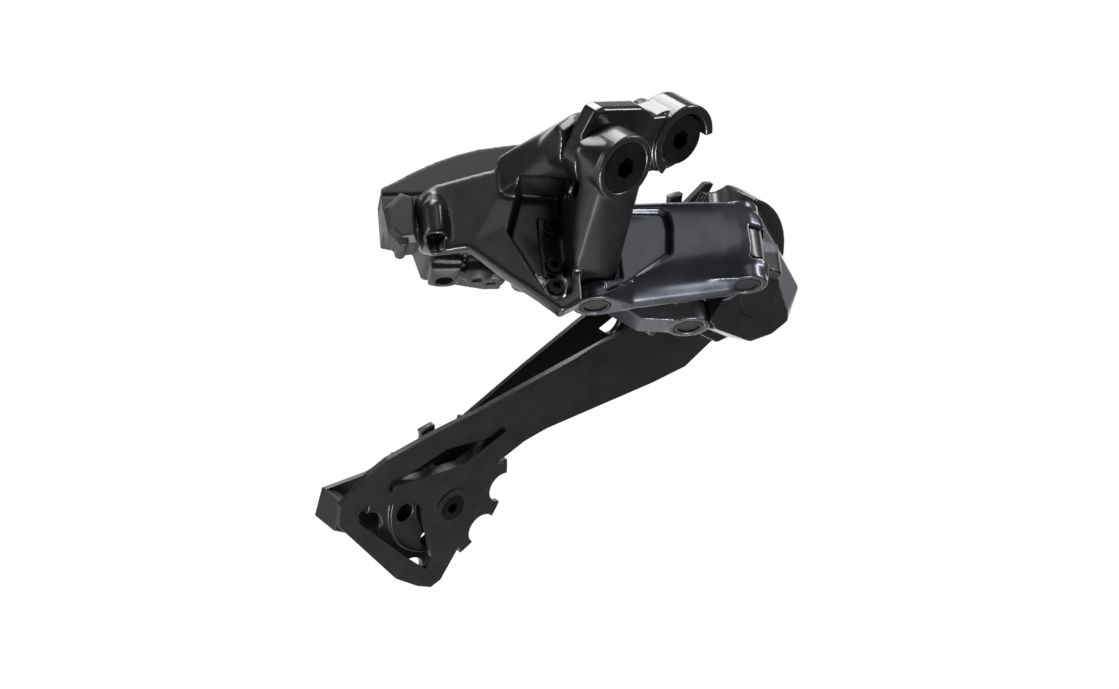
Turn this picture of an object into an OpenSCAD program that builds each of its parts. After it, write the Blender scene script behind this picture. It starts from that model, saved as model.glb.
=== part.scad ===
// Rear bicycle derailleur with a motor unit, for a 12-speed drivetrain.
// Frame: X forward along the bicycle, Y inboard towards the wheel, Z up.
// The origin is on the hanger bolt's axis, on the face that seats against the frame hanger.

/* [Hanger link] */
// Hanger bolt thread diameter
hanger_bolt_d = 10; // [9:0.5:10]
// Length of thread past the seating face
hanger_thread_l = 8.5; // [6:0.5:10]
// B-axle centre along X from the hanger bolt
b_axle_x = -25; // [-26:0.5:-24]
// B-axle centre along Z from the hanger bolt
b_axle_z = -13.4; // [-14:0.2:-13]
// Depth of the hanger link along Y
link_depth = 10.4; // [10:0.1:10.4]
// Hex socket of the mounting bolts, across flats
hex_af = 5; // [4:0.5:5]

/* [Parallelogram] */
// Slant of the four pins from vertical, leaning inboard at the top
slant = 45; // [45:1:45]
// Distance between the two pins of a link
link_len = 41.5; // [41:0.25:42]
// Angle of the links at rest, in the plane square to the pins
link_rest = -44.8; // [-45:0.1:-44]
// Diameter of the link pins
pin_d = 6; // [5:0.5:6]
// Outside radius of the link eyes
eye_r = 6; // [5.6:0.1:6]
// Running clearance on a radius
run = 0.05; // [0.03:0.01:0.08]

/* [Cage] */
// P-axle centre along X
p_x = 42; // [41:0.5:43]
// P-axle centre along Z
p_z = -25; // [-26:0.5:-24]
// Guide pulley centre, X
guide_x = 45; // [44:0.5:46]
// Guide pulley centre, Z
guide_z = -33; // [-34:0.5:-32]
// Tension pulley centre, X
tension_x = 6.8; // [6:0.1:8]
// Tension pulley centre, Z
tension_z = -117; // [-118:0.5:-116]
// Outer face of the outer cage plate, Y
cage_y = 2; // [1.8:0.1:2.2]
// Thickness of a cage plate
plate_t = 1.6; // [1.4:0.1:1.8]
// Mid plane of the pulleys, Y
chain_y = 9.2; // [9:0.1:9.4]
// Inner face of the inner cage plate, Y
inner_y = 14.4; // [14:0.1:15]

/* [Pulleys] */
// Number of teeth
teeth = 11; // [11:1:11]
// Chain pitch
chain_pitch = 12.7; // [12.7]
// Tip radius of a tooth
tip_r = 24.2; // [23.8:0.1:24.6]

/* [Motor unit] */
// Gear module
gear_m = 0.5; // [0.5]
// Teeth of each pinion
pinion_z = 10; // [10]
// Teeth of each wheel
wheel_z = 30; // [30]

/* [Hidden] */
$fn = 48;

// Colours
casting = "#2a2b2e";
satin = "#4a4b50";
gloss = "#333437";
plastic = "#1c1c1e";
steel = "#8d9095";
black_steel = "#232426";
brass = "#a98b4d";

// Pin positions in the plane square to the pins, X and inboard-down
R = [-1, 25.5];
base_off = [1.2, 20];
I = R + base_off;
link_dir = [cos(link_rest), sin(link_rest)];
// Inner rear pin seen in the outer link's own frame
i_s = base_off * link_dir;
i_t = base_off * [-sin(link_rest), cos(link_rest)];

// Levels along the pins, measured along the pin axis from the frame's origin
ear_lo = [-44, -38.5];
rear_lug = [-38.2, -21.3];
rear_top = [-21, -16];
front_lo = [-39, -33.4];
front_lug = [-33.1, -24.3];
front_top = [-24, -16];
inner_lo = [-30, -25.5];
inner_lug = [-25.2, -18.4];
inner_top = [-18.1, -14];
fork_lug = [-38.2, -30.5];
fork_top = [-30.2, -26];

// Gear levels along the pins
level_1 = [-9.7, -7.9];
level_2 = [-12.2, -10.4];
level_3 = [-14.7, -12.9];
gear_dist = gear_m * (pinion_z + wheel_z) / 2;
second_at = [i_s, i_t] + gear_dist * [cos(185), sin(185)];
first_at = second_at + gear_dist * [cos(190), sin(190)];
rotor_at = first_at + gear_dist * [cos(200), sin(200)];
shaft_r = 1;
spindle_r = 1.5;
corner_screws = [[-50.2, 5.4], [-22, 23.8], [-11.9, 5.2], [-42.2, 16.8]];
button_at = [-34, 11.5];
led_at = [-29.6, 15];
screws_at = [[-10.2, -22.5], [-11, -34.5], [-11, -40.5]];

hex_r = hex_af / sqrt(3);
pin_r = pin_d / 2;
bush_r = pin_r + 1;
head_r = 6.8;
b_axle_r = 5;
p_axle_r = 4;
spring_r = 5.4;
chamber_r = 6.5;
pitch_r = chain_pitch / (2 * sin(180 / teeth));
roller_r = 4.5;
outer_in = cage_y + plate_t;
inner_out = inner_y + plate_t;
sleeve_r = 4;
bearing_r = 7.5;

// ---- helpers -------------------------------------------------------------

// Cylinder along Y from y0 to y1, centred on x, z
module y_cyl(x, z, y0, y1, r, r2 = undef) {
    translate([x, y0, z])
        rotate([-90, 0, 0])
            cylinder(r1 = r, r2 = r2 == undef ? r : r2, h = y1 - y0);
}

// Plate from a profile drawn in X and Z, from y0 to y1
module y_plate(y0, y1) {
    translate([0, y1, 0])
        rotate([90, 0, 0])
            linear_extrude(y1 - y0)
                children();
}

// Hexagonal prism along Y
module y_hex(x, z, y0, y1, r = hex_r) {
    translate([x, y0, z])
        rotate([-90, 0, 0])
            cylinder(r = r, h = y1 - y0, $fn = 6);
}

// Frame with its z along the pins and its x forward
module slanted() {
    rotate([-slant, 0, 0])
        children();
}

// Outer link's frame: x from rear to front pin, y inboard, z along the pins
module outer_frame() {
    slanted()
        translate([R.x, R.y, 0])
            rotate([0, 0, link_rest])
                children();
}

// Same frame about the inner rear pin
module inner_frame() {
    outer_frame()
        translate([i_s, i_t, 0])
            children();
}

// Cylinder along z between the two levels of a range
module post(at, range, r) {
    translate([at.x, at.y, range[0]])
        cylinder(r = r, h = range[1] - range[0]);
}

// Hexagonal socket along z
module post_hex(at, range, r) {
    translate([at.x, at.y, range[0]])
        cylinder(r = r, h = range[1] - range[0], $fn = 6);
}

// Prism from a profile in the outer frame's x and z, between two depths
module s_plate(t0, t1) {
    translate([0, t1, 0])
        rotate([90, 0, 0])
            linear_extrude(t1 - t0)
                children();
}

function on_circle(r, a) = [r * cos(a), r * sin(a)];

// Gear outline with straight-flanked teeth, from tooth number i0 to i1
function gear_points(z, m, i0 = 0, i1 = undef) = [
    for (i = [i0 : (i1 == undef ? z : i1) - 1])
        for (p = [[-0.5, -1.15], [-0.27, -1.15], [-0.13, 0.9], [0.13, 0.9], [0.27, -1.15]])
            on_circle(m * (z / 2 + p[1]), (i + p[0]) * 360 / z)
];

// Torsion spring wound along z
module coil(r, wire, pitch, turns) {
    steps = 18;
    sides = 8;
    n = turns * steps;
    points = [
        for (i = [0 : n])
            for (j = [0 : sides - 1])
                let (a = i * 360 / steps, b = j * 360 / sides, d = r + wire * cos(b))
                    [d * cos(a), d * sin(a), i * pitch / steps + wire * sin(b)]
    ];
    sleeve = [
        for (i = [0 : n - 1])
            for (j = [0 : sides - 1])
                let (k = (j + 1) % sides)
                    [i * sides + j, i * sides + k, (i + 1) * sides + k, (i + 1) * sides + j]
    ];
    first = [for (j = [sides - 1 : -1 : 0]) j];
    last = [for (j = [0 : sides - 1]) n * sides + j];
    polyhedron(points, concat([first], sleeve, [last]), convexity = 10);
}

// ---- hanger link ---------------------------------------------------------

module b_link() {
    color(gloss) difference() {
        union() {
            y_cyl(0, 0, -link_depth, 0, 10.3);
            hull() {
                y_cyl(0, 0, -8.4, 0, 9.6);
                y_cyl(-10, -5, -8.4, 0, 7.4);
            }
            hull() {
                y_cyl(-6, -3, -9.4, -4.8, 7.6);
                y_cyl(b_axle_x, b_axle_z, -9.6, -4.8, 9);
            }
            y_cyl(b_axle_x, b_axle_z, -9.9, -4.7, 9.3);
            // Stop block above the axle
            y_plate(-9.5, -3)
                polygon([[-32, -12], [-32.6, -3.6], [-19.6, 2.2], [-12, 0], [-16, -8], [-24, -8]]);
        }
        // Recess of the hanger bolt's head, open to the front below
        y_cyl(0, 0, -20, -4.8, 7.7);
        y_plate(-20, -4.8)
            polygon([[0, 0], [-2, -20], [24, -20], [24, 6], [9, 6]]);
        y_cyl(0, 0, -20, 5, hanger_bolt_d / 2 + run);
        y_cyl(b_axle_x, b_axle_z, -20, 5, b_axle_r + 1.2);
        // Turning room for the inboard ear of the base
        y_cyl(b_axle_x, b_axle_z, -4.7, 5, 8);
    }
}

module hanger_bolt() {
    color(black_steel) difference() {
        union() {
            y_cyl(0, 0, -9, -4.8, head_r);
            y_cyl(0, 0, -4.8, -1.2, hanger_bolt_d / 2);
            y_cyl(0, 0, -1.2, 0, hanger_bolt_d / 2 - 0.8);
            y_cyl(0, 0, 0, hanger_thread_l, hanger_bolt_d / 2);
        }
        y_hex(0, 0, -10, -4.6);
    }
}

module b_bush() {
    color(brass) difference() {
        y_cyl(b_axle_x, b_axle_z, -9.9, -4.7, b_axle_r + 1.19);
        y_cyl(b_axle_x, b_axle_z, -20, 1, b_axle_r + run);
    }
}

// ---- base and B-axle -----------------------------------------------------

module b_axle_bolt() {
    color(black_steel) difference() {
        union() {
            y_cyl(b_axle_x, b_axle_z, -19, -15.5, head_r - 0.05);
            y_cyl(b_axle_x, b_axle_z, -15.5, 0.2, b_axle_r);
        }
        y_hex(b_axle_x, b_axle_z, -20, -13.6);
    }
}

module wall_profile() {
    polygon([
        [-46, -13], [-41, -10], [-19, -5], [-9, -1], [-7, -15], [-6.8, -38], [-8, -45],
        [-11, -48], [-15, -45], [-24, -37], [-33, -28.5], [-43, -30], [-45.5, -26]
    ]);
}

module base_body() {
    color(casting) difference() {
        union() {
            y_cyl(b_axle_x, b_axle_z, -19, -10.2, 8.9);
            y_cyl(b_axle_x, b_axle_z, -4.4, 0.6, 7.2);
            outer_frame() post([0, 0], rear_lug, 5.8);
            // Shoulder from the outboard ear down to the outer pin's column
            hull() {
                y_cyl(b_axle_x, b_axle_z, -17.6, -11, 7.4);
                outer_frame() post([-1.6, -1], [-37, -23], 4.2);
                outer_frame() post([-8.5, -6], [-37, -23], 3);
            }
            // Web from the inboard ear to the top of the wall
            hull() {
                y_cyl(b_axle_x, b_axle_z, -4.4, 0.6, 6.4);
                outer_frame() translate([-24, -8, -15]) cube([15, 9, 12]);
            }
            // Rear of the clevis
            hull() {
                y_cyl(b_axle_x - 3, b_axle_z - 5, -14, 0, 4);
                outer_frame() translate([-22, -8, -30]) cube([13, 6, 20]);
            }
            outer_frame() s_plate(-9, 2) wall_profile();
            // Boss of the front case screw
            outer_frame() post([-42, -8], [-27, -15], 3.4);
            // Inner pin's lug and the neck that carries it
            inner_frame() post([0, 0], inner_lug, 5.8);
            hull() {
                outer_frame() post([i_s, i_t], [-25, -18.6], 4.6);
                outer_frame() post([-19, -1], [-25, -18.6], 3.5);
            }
        }
        // Slot for the hanger link and room for the spring
        y_cyl(b_axle_x, b_axle_z, -10.2, -4.4, 12.6);
        y_cyl(b_axle_x, b_axle_z, -30, 0.3, b_axle_r + 0.01);
        y_cyl(b_axle_x, b_axle_z, -30, -15.5, head_r);
        y_cyl(b_axle_x, b_axle_z, -14.6, -10, 7);
        outer_frame() post([0, 0], [-50, -19], pin_r + 0.01);
        inner_frame() post([0, 0], [-50, -14], pin_r + run);
        // Room for the eyes of both links
        outer_frame() post([0, 0], [-60, -38.2], 6.6);
        outer_frame() post([0, 0], [-21.3, -15.7], 8.6);
        inner_frame() post([0, 0], [-18.4, -13.8], 6.5);
        // Recess that holds the limit screws
        outer_frame() s_plate(-30, -4)
            polygon([[-18.5, -15], [-23, -27], [-13, -44.5], [-8.5, -42.5], [-7.5, -20]]);
        outer_frame() post([-42, -8], [-30, -24.5], 2.3);
        for (at = screws_at)
            outer_frame() translate([at.x, 0, at.y]) rotate([90, 0, 0])
                cylinder(r = 1.26, h = 20, center = true);
        // Charge port and motor case
        outer_frame() translate([-47, -3.65, -21.65]) cube([5.25, 4.5, 4.5]);
        outer_frame() case_block(0.2);
    }
}

// Outline of the motor case, square to the pins
module case_outline(grow = 0) {
    polygon([
        [-54 - grow, 2.2 - grow], [-54 - grow, 14 + grow], [-40, 20.5 + grow], [-25, 26.5 + grow],
        [-8 + grow, 26.5 + grow], [-6.8 + grow, 11], [-9.4 + grow, 2.2 - grow]
    ]);
}

module case_inner() {
    polygon([
        [-52.6, 3.6], [-52.6, 13], [-40.2, 18.9], [-25.2, 25.1], [-9.2, 25.1], [-8.2, 11.4],
        [-10.6, 3.6]
    ]);
}

// Side view of the case: shallow over the inner link, deepest in the middle
module case_block(grow = 0) {
    intersection() {
        translate([0, 0, -40])
            linear_extrude(31 + grow)
                case_outline(grow);
        s_plate(-5, 40)
            polygon([
                [-60, 0], [-60, -19 - grow], [-45, -19 - grow], [-43 - grow, -26 - grow],
                [-20.5 + grow, -26 - grow], [-20.5 + grow, -13.7 - grow], [0, -13.7 - grow], [0, 0]
            ]);
    }
}

module motor_case() {
    color(plastic) outer_frame() difference() {
        union() {
            case_block();
            // Cable socket and screw bosses under the case
            translate([-42, 4, -31]) cube([8, 11, 6]);
            post([-29.5, 8], [-32, -25], 4);
            post([-25, 12], [-31, -25], 4.2);
        }
        difference() {
            intersection() {
                translate([0, 0, -40])
                    linear_extrude(60)
                        case_inner();
                s_plate(-5, 40)
                    polygon([
                        [-60, 0], [-60, -17.8], [-44, -17.8], [-42, -24.8], [-22, -24.8], [-22, -12.6],
                        [0, -12.6], [0, 0]
                    ]);
            }
            for (at = corner_screws) post(at, [-10.2, -9], 1.5);
        }
        for (at = [first_at, second_at]) post(at, [-25.4, -20], shaft_r + 0.01);
        post([i_s, i_t], [-30, -10], pin_r + 0.4);
        translate([-38, 10, -33]) cylinder(r = 2.6, h = 6.5);
        for (at = corner_screws) post(at, [-12, 0], 0.9);
    }
}

module lid_profile(drop = 0) {
    polygon([
        [-54 + drop, -8.8 - drop], [-54 + drop, -7.6 - drop], [-47, -3.4 - drop], [-39, 1 - drop],
        [-28, 4.6 - drop],
        [-8, 7 - drop], [-5, 6 - drop], [-5, -8.8 - drop]
    ]);
}

module motor_cover() {
    color(plastic) outer_frame() difference() {
        intersection() {
            s_plate(-5, 40) lid_profile();
            translate([0, 0, -20]) linear_extrude(40) case_outline();
        }
        difference() {
            intersection() {
                s_plate(-5, 40) lid_profile(1.5);
                translate([0, 0, -20]) linear_extrude(40) case_inner();
            }
            for (at = corner_screws) post(at, [-9, 10], 2);
        }
        for (at = corner_screws) {
            post(at, [-9, 10], 0.95);
            post(at, [-6.8, 10], 1.5);
        }
        post(button_at, [-9, 10], 2.6);
        post(led_at, [-9, 10], 1.25);
    }
}

module cover_screws() {
    color(steel) outer_frame() {
        for (at = corner_screws) difference() {
            union() {
                post(at, [-10.2, -6.7], 0.88);
                post(at, [-6.7, -5.6], 1.4);
            }
            post_hex(at, [-6.2, -5], 0.8);
        }
        difference() {
            post([-42, -8], [-26, -24.5], 2.2);
            post_hex([-42, -8], [-27, -25.2], 1.3);
        }
    }
}

module cover_seal() {
    color("#3a3a3a") outer_frame() translate([0, 0, -8.98])
        linear_extrude(0.16)
            difference() {
                case_outline();
                case_inner();
            }
}

module port_cover() {
    color("#202124") outer_frame() {
        s_plate(-7.8, 1.8)
            polygon([[-46.6, -13.4], [-50, -12], [-55, -17], [-54, -24], [-51, -27.5], [-46.4, -27]]);
        // Barrel that the flap turns on
        translate([-50.5, -7.8, -26.8]) rotate([-90, 0, 0]) cylinder(r = 1.4, h = 9.6);
    }
}

module charge_port() {
    color(steel) outer_frame() difference() {
        translate([-46, -3.6, -21.6]) cube([4.2, 4.4, 4.4]);
        translate([-47, -3.1, -21.1]) cube([4.4, 3.4, 3.4]);
    }
}

module function_button() {
    color("#3c3d40") outer_frame() {
        post(button_at, [-0.3, 3.4], 2.5);
        post(button_at, [-1.3, -0.3], 2.9);
    }
}

module button_spring() {
    color(steel) outer_frame() translate([button_at.x, button_at.y, -5.95])
        coil(1.4, 0.2, 0.85, 4);
}

module led_lens() {
    color("#b9c6cc") outer_frame() post(led_at, [-6.15, 4.4], 1.2);
}

module circuit_board() {
    color("#1f4a33") outer_frame() {
        translate([0, 0, -7.2])
            linear_extrude(1)
                polygon([[-37.4, 6.8], [-37.4, 15], [-32, 17], [-27, 17], [-27, 6.8]]);
        translate([-31, 7.4, -6.2]) cube([3, 6, 1.2]);
    }
}

module motor_can() {
    color(steel) outer_frame() difference() {
        post(rotor_at, [-12.5, -5.4], 4.4);
        post(rotor_at, [-13, -6.4], 0.85);
    }
}

// Spur gear along z between two levels
module gear(z, range, turn, i0 = 0, i1 = undef) {
    translate([0, 0, range[0]])
        rotate([0, 0, turn])
            linear_extrude(range[1] - range[0])
                polygon(concat(i1 == undef ? [] : [[0, 0]], gear_points(z, gear_m, i0, i1)));
}

module motor_rotor() {
    color(brass) outer_frame() translate([rotor_at.x, rotor_at.y, 0]) {
        post([0, 0], [-14.9, -6.6], 0.8);
        gear(pinion_z, level_3, 200 + 180);
    }
}

module first_gear() {
    color(brass) outer_frame() translate([first_at.x, first_at.y, 0]) difference() {
        union() {
            gear(wheel_z, level_3, 200 + 180 / wheel_z);
            gear(pinion_z, [level_3[1], level_2[1]], 190 + 180);
        }
        post([0, 0], [-30, 0], shaft_r + run);
    }
}

module second_gear() {
    color(steel) outer_frame() translate([second_at.x, second_at.y, 0]) difference() {
        union() {
            gear(wheel_z, level_2, 190 + 180 / wheel_z);
            gear(pinion_z, [level_2[1], level_1[1]], 185 + 180);
        }
        post([0, 0], [-30, 0], shaft_r + run);
    }
}

module gear_shafts() {
    color(steel) outer_frame() {
        post(first_at, [-25.4, -9.9], shaft_r);
        post(second_at, [-25.4, -7.4], shaft_r);
    }
}

module output_gear() {
    color(steel) inner_frame() difference() {
        union() {
            gear(wheel_z, level_1, 185 + 180 / wheel_z, -9, 2);
            post([0, 0], level_1, 3.2);
        }
        post([0, 0], [-30, 0], spindle_r + 0.01);
    }
}

module output_shaft() {
    color(steel) inner_frame() {
        post([0, 0], [-29.6, -13.2], pin_r);
        post([0, 0], [-13.2, -7.6], spindle_r);
    }
}

// Socket-head grub lying across the recess, seen from outboard
module recess_screw(at) {
    outer_frame() translate([at.x, 0, at.y]) rotate([90, 0, 0]) difference() {
        union() {
            translate([0, 0, -1.5]) cylinder(r = 1.25, h = 6);
            translate([0, 0, 4.1]) cylinder(r = 2.1, h = 2.4);
        }
        translate([0, 0, 4.9]) cylinder(r = 1.15, h = 3, $fn = 6);
    }
}

module end_adjust_screw() { color(black_steel) recess_screw(screws_at[0]); }
module high_limit_screw() { color(black_steel) recess_screw(screws_at[1]); }
module low_limit_screw() { color(black_steel) recess_screw(screws_at[2]); }

module b_spring() {
    color(steel) translate([b_axle_x, -14.1, b_axle_z]) rotate([-90, 0, 0])
        coil(6.2, 0.45, 1, 3);
}

module outer_rear_pin() {
    color(steel) outer_frame() post([0, 0], [-43.6, -19.2], pin_r);
}

// ---- links ---------------------------------------------------------------

module outer_link() {
    color(satin) outer_frame() difference() {
        union() {
            // Face plate
            s_plate(-6.5, -2.8)
                polygon([
                    [7, -17.2], [9, -16], [40, -16.2], [45.5, -19.5], [46.5, -22], [46.5, -36], [44, -39],
                    [9, -37]
                ]);
            // Flank sloping in below the plate
            hull() {
                s_plate(-6.5, -4) polygon([[7, -38], [44, -38.5], [44, -35], [7, -35]]);
                s_plate(-3.5, 3) polygon([[4, -44], [38, -41], [38, -39.2], [4, -39.2]]);
            }
            // Eyes
            post([0, 0], ear_lo, eye_r);
            post([0, 0], rear_top, eye_r);
            post([link_len, 0], front_lo, eye_r);
            post([link_len, 0], front_top, eye_r);
            translate([0, -6, -44]) cube([10, 9, 5.5]);
            translate([0, -6, -21]) cube([12, 7, 5]);
            translate([30, -6.2, -39]) cube([link_len - 30, 9, 5.6]);
            translate([33, -6.2, -24]) cube([link_len - 33, 9, 8]);
        }
        for (s = [0, link_len]) post([s, 0], [-60, 0], bush_r + 0.01);
        // Room for the lugs of the base and the knuckle
        post([0, 0], [-38.5, -21], 6.4);
        post([link_len, 0], [-33.4, -24], 6.5);
        translate([link_len, -8, -33.4]) cube([10, 9, 9.4]);
        // End rounding
        difference() {
            translate([link_len, -12, -50]) cube([20, 24, 50]);
            post([link_len, 0], [-50, 0], 7.9);
        }
        // Window beside the base
        s_plate(-8, -5.4)
            polygon([[5, -19], [20, -19.4], [21, -24], [20.4, -32], [9, -38.5], [5, -38.5]]);
    }
}

module bush(at, range) {
    difference() {
        post(at, range, bush_r);
        post(at, [range[0] - 1, range[1] + 1], pin_r + run);
    }
}

module outer_link_bushes() {
    color(brass) outer_frame() {
        bush([0, 0], ear_lo);
        bush([0, 0], [rear_top[0], -18.9]);
        bush([link_len, 0], front_lo);
        bush([link_len, 0], front_top);
    }
}

module inner_link() {
    color(satin) inner_frame() difference() {
        union() {
            post([0, 0], inner_lo, eye_r);
            post([0, 0], inner_top, eye_r);
            post([link_len, 0], ear_lo, eye_r);
            post([link_len, 0], fork_top, eye_r);
            s_plate(-4.5, 4) polygon([
                [2, -30], [12, -32], [28, -43], [link_len, -44], [link_len, -38.5], [34.5, -38],
                [34.5, -30.4], [link_len, -30.2], [link_len, -26], [34, -26], [18, -18], [10, -14],
                [2, -14], [2, -18.1], [7.5, -18.4], [7.5, -25.2], [2, -25.5]
            ]);
        }
        post([0, 0], [-60, 0], pin_r + 0.01);
        post([link_len, 0], [-60, 0], bush_r + 0.01);
        post([0, 0], [-25.5, -18.1], 6.4);
        post([link_len, 0], [-38.5, -30.2], 6.4);
    }
}

module inner_link_bushes() {
    color(brass) inner_frame() {
        bush([link_len, 0], ear_lo);
        bush([link_len, 0], fork_top);
    }
}

// ---- knuckle -------------------------------------------------------------

// Cross-sections of the knuckle at three stations along Y
module knuckle_outer() {
    y_plate(-25, -24.8)
        polygon([
            [29, -12], [39, -16], [50.5, -19.8], [58.8, -18.8], [59.4, -26.7], [56.2, -33], [49.5, -38],
            [29, -39.5]
        ]);
}

module knuckle_middle() {
    y_plate(-19.4, -19.2)
        polygon([
            [29, -6], [49.5, -13.4], [64.2, -18.7], [65, -26.8], [61.8, -33.4], [54.8, -38.6],
            [47, -40.2], [29, -41]
        ]);
}

module knuckle() {
    color(casting) difference() {
        union() {
            difference() {
                union() {
                    hull() {
                        knuckle_outer();
                        knuckle_middle();
                    }
                    hull() {
                        knuckle_middle();
                        y_plate(-7.2, -7)
                            polygon([
                                [29, -6.6], [40, -4.2], [49, -6.6], [61.3, -13.5], [63.6, -25],
                                [60.6, -36], [54, -41], [29, -42]
                            ]);
                    }
                    y_cyl(p_x, p_z, -12, -1.5, 22.2);
                }
                // Behind the front pins, and below the barrel
                translate([0, -60, -80]) cube([29.6, 70, 90]);
                translate([0, -60, -80]) cube([90, 70, 36.4]);
                outer_frame() post([link_len, 0], [-60, 0], 8.4);
                inner_frame() post([link_len, 0], [-61, -25.7], 6.6);
            }
            // Lug of the outer link's front pin
            outer_frame() {
                post([link_len, 0], front_lug, eye_r);
                translate([link_len, 0, front_lug[0]]) rotate([0, 0, 42])
                    translate([3.6, -3.4, 0]) cube([9.4, 8, front_lug[1] - front_lug[0]]);
            }
            // Lug of the inner link's front pin
            inner_frame() {
                post([link_len, 0], fork_lug, eye_r);
                translate([link_len, 0, fork_lug[0]]) rotate([0, 0, 40])
                    translate([3.6, -4.5, 0]) cube([8.4, 9, fork_lug[1] - fork_lug[0]]);
            }
            // Stop for the cage pin
            y_plate(-5, -1.5) polygon([[30.5, -41], [36.4, -42.9], [33.5, -49.2], [30, -47.8]]);
        }
        y_cyl(p_x, p_z, -30, 5, p_axle_r + 1.02);
        y_cyl(p_x, p_z, -19, -4, chamber_r);
        y_cyl(p_x, p_z, -30, -24.6, 7.1);
        outer_frame() post([link_len, 0], [-63, 0], pin_r + 0.01);
        inner_frame() post([link_len, 0], [-63, -29.8], pin_r + 0.01);
    }
}

module knuckle_cap() {
    color(plastic) y_cyl(p_x, p_z, -25.4, -24.6, 7);
}

module outer_front_pin() {
    color(steel) outer_frame() post([link_len, 0], [-38.7, -16.3], pin_r);
}

module inner_front_pin() {
    color(steel) inner_frame() post([link_len, 0], [-43.6, -26.2], pin_r);
}

module p_bush() {
    color(brass) for (range = [[-24.4, -19.2], [-3.8, -1.5]]) difference() {
        y_cyl(p_x, p_z, range[0], range[1], p_axle_r + 1.01);
        y_cyl(p_x, p_z, range[0] - 1, range[1] + 1, p_axle_r + run);
    }
}

module p_seal() {
    color("#151515") difference() {
        y_cyl(p_x, p_z, -1.5, 1.6, 7);
        y_cyl(p_x, p_z, -3, 3, p_axle_r + 0.3);
    }
}

module cage_spring() {
    color(steel) translate([p_x, -18, p_z]) rotate([-90, 0, 0])
        coil(spring_r, 0.7, 2.4, 5);
}

// ---- cage ----------------------------------------------------------------

module p_axle() {
    color(steel) union() {
        y_cyl(p_x, p_z, -24.3, outer_in, p_axle_r);
        y_cyl(p_x, p_z, outer_in - 0.9, outer_in, p_axle_r + 0.4);
    }
}

module outer_plate() {
    color("#1b1b1d") difference() {
        union() {
            y_plate(cage_y, outer_in)
                polygon([
                    [31, -28], [35.6, -44], [33.8, -52.8], [20, -66.6], [-3.6, -90], [-14.2, -99.6],
                    [-25, -110.6], [-28.6, -116.6], [-32, -126.5], [-28.6, -132], [1.6, -141],
                    [10.8, -141.2], [16, -140.4], [18, -137.5], [17.6, -122], [15.2, -106.6], [14, -101],
                    [19.5, -92.6], [25, -87], [56, -63], [65.2, -54.9], [70.4, -44], [68, -33], [60, -22],
                    [50, -13.6]
                ]);
            y_cyl(p_x, p_z, cage_y, outer_in, 12.2);
            // Rib along the slot
            y_plate(cage_y - 1.6, outer_in)
                polygon([
                    [-19.6, -116.6], [-19, -118.4], [1.8, -106.2], [10.4, -92.6], [8.8, -91.6],
                    [0.4, -104.4]
                ]);
            y_cyl(tension_x, tension_z, cage_y - 0.5, outer_in, 5.6);
        }
        y_cyl(p_x, p_z, 0, 6, p_axle_r + 0.01);
        y_cyl(p_x, p_z, outer_in - 0.9, 6, p_axle_r + 0.41);
        for (at = [[guide_x, guide_z, cage_y], [tension_x, tension_z, cage_y - 0.5]]) {
            y_cyl(at.x, at.y, 0, 6, 2.51);
            y_cyl(at.x, at.y, 0, at.z + 1.3, 3.9);
        }
        // Window below the tension pulley and slot above the rib
        y_plate(0, 6) polygon([
            [-24.4, -127.4], [-23.6, -124.6], [-17.7, -123.1], [-7.6, -118.6], [-3.8, -119.8], [10.4, -132.5],
            [10.2, -136], [3.2, -134.9], [-22, -129.6]
        ]);
        y_plate(0, 6) polygon([[-17.4, -115.4], [-6.8, -102.4], [6.4, -95], [0.2, -104.6]]);
        y_cyl(35.5, -49.1, 0, 6, 1.51);
    }
}

module inner_plate() {
    color("#1b1b1d") difference() {
        union() {
            y_plate(inner_y, inner_out)
                polygon([
                    [-27, -127], [-15.5, -119], [-2, -106], [6.5, -96.3], [18.5, -75], [30.5, -55],
                    [31, -40], [33.5, -22], [38, -16.5], [50, -15], [58, -27], [60, -40], [55, -56], [40, -70], [24, -88],
                    [19, -103], [21, -118], [16, -131], [4, -135.5], [-16, -137], [-24, -135]
                ]);
            // Bent end that keeps the chain on
            y_plate(7, inner_y)
                polygon([[-27, -127], [-24, -135], [-20.6, -134.2], [-23.4, -126]]);
            // Tab beside the guide pulley
            y_plate(inner_y, inner_out)
                polygon([[43.5, -15], [47, -6.4], [50, -5.4], [51, -18]]);
        }
        for (at = [[guide_x, guide_z], [tension_x, tension_z]])
            y_cyl(at.x, at.y, 10, 20, 2.51);
        y_plate(10, 20) polygon([[38, -57], [42.8, -57.4], [49, -53.5], [47, -50], [42, -50.5]]);
    }
}

module cage_stop_pin() {
    color(steel) y_cyl(35.5, -49.1, -5, outer_in, 1.5);
}

module pulley_bolt(x, z, y0) {
    difference() {
        union() {
            y_cyl(x, z, y0, y0 + 1.3, 3.88);
            y_cyl(x, z, y0 + 1.3, inner_out, 2.5);
        }
        y_hex(x, z, y0 - 1, y0 + 2, 3 / sqrt(3));
    }
}

module sleeve(x, z) {
    difference() {
        y_cyl(x, z, outer_in, inner_y, sleeve_r);
        y_cyl(x, z, 0, 20, 2.51);
    }
}

module guide_bolt() { color(black_steel) pulley_bolt(guide_x, guide_z, cage_y); }
module tension_bolt() { color(black_steel) pulley_bolt(tension_x, tension_z, cage_y - 0.5); }
module guide_sleeve() { color(steel) sleeve(guide_x, guide_z); }
module tension_sleeve() { color(steel) sleeve(tension_x, tension_z); }

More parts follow.
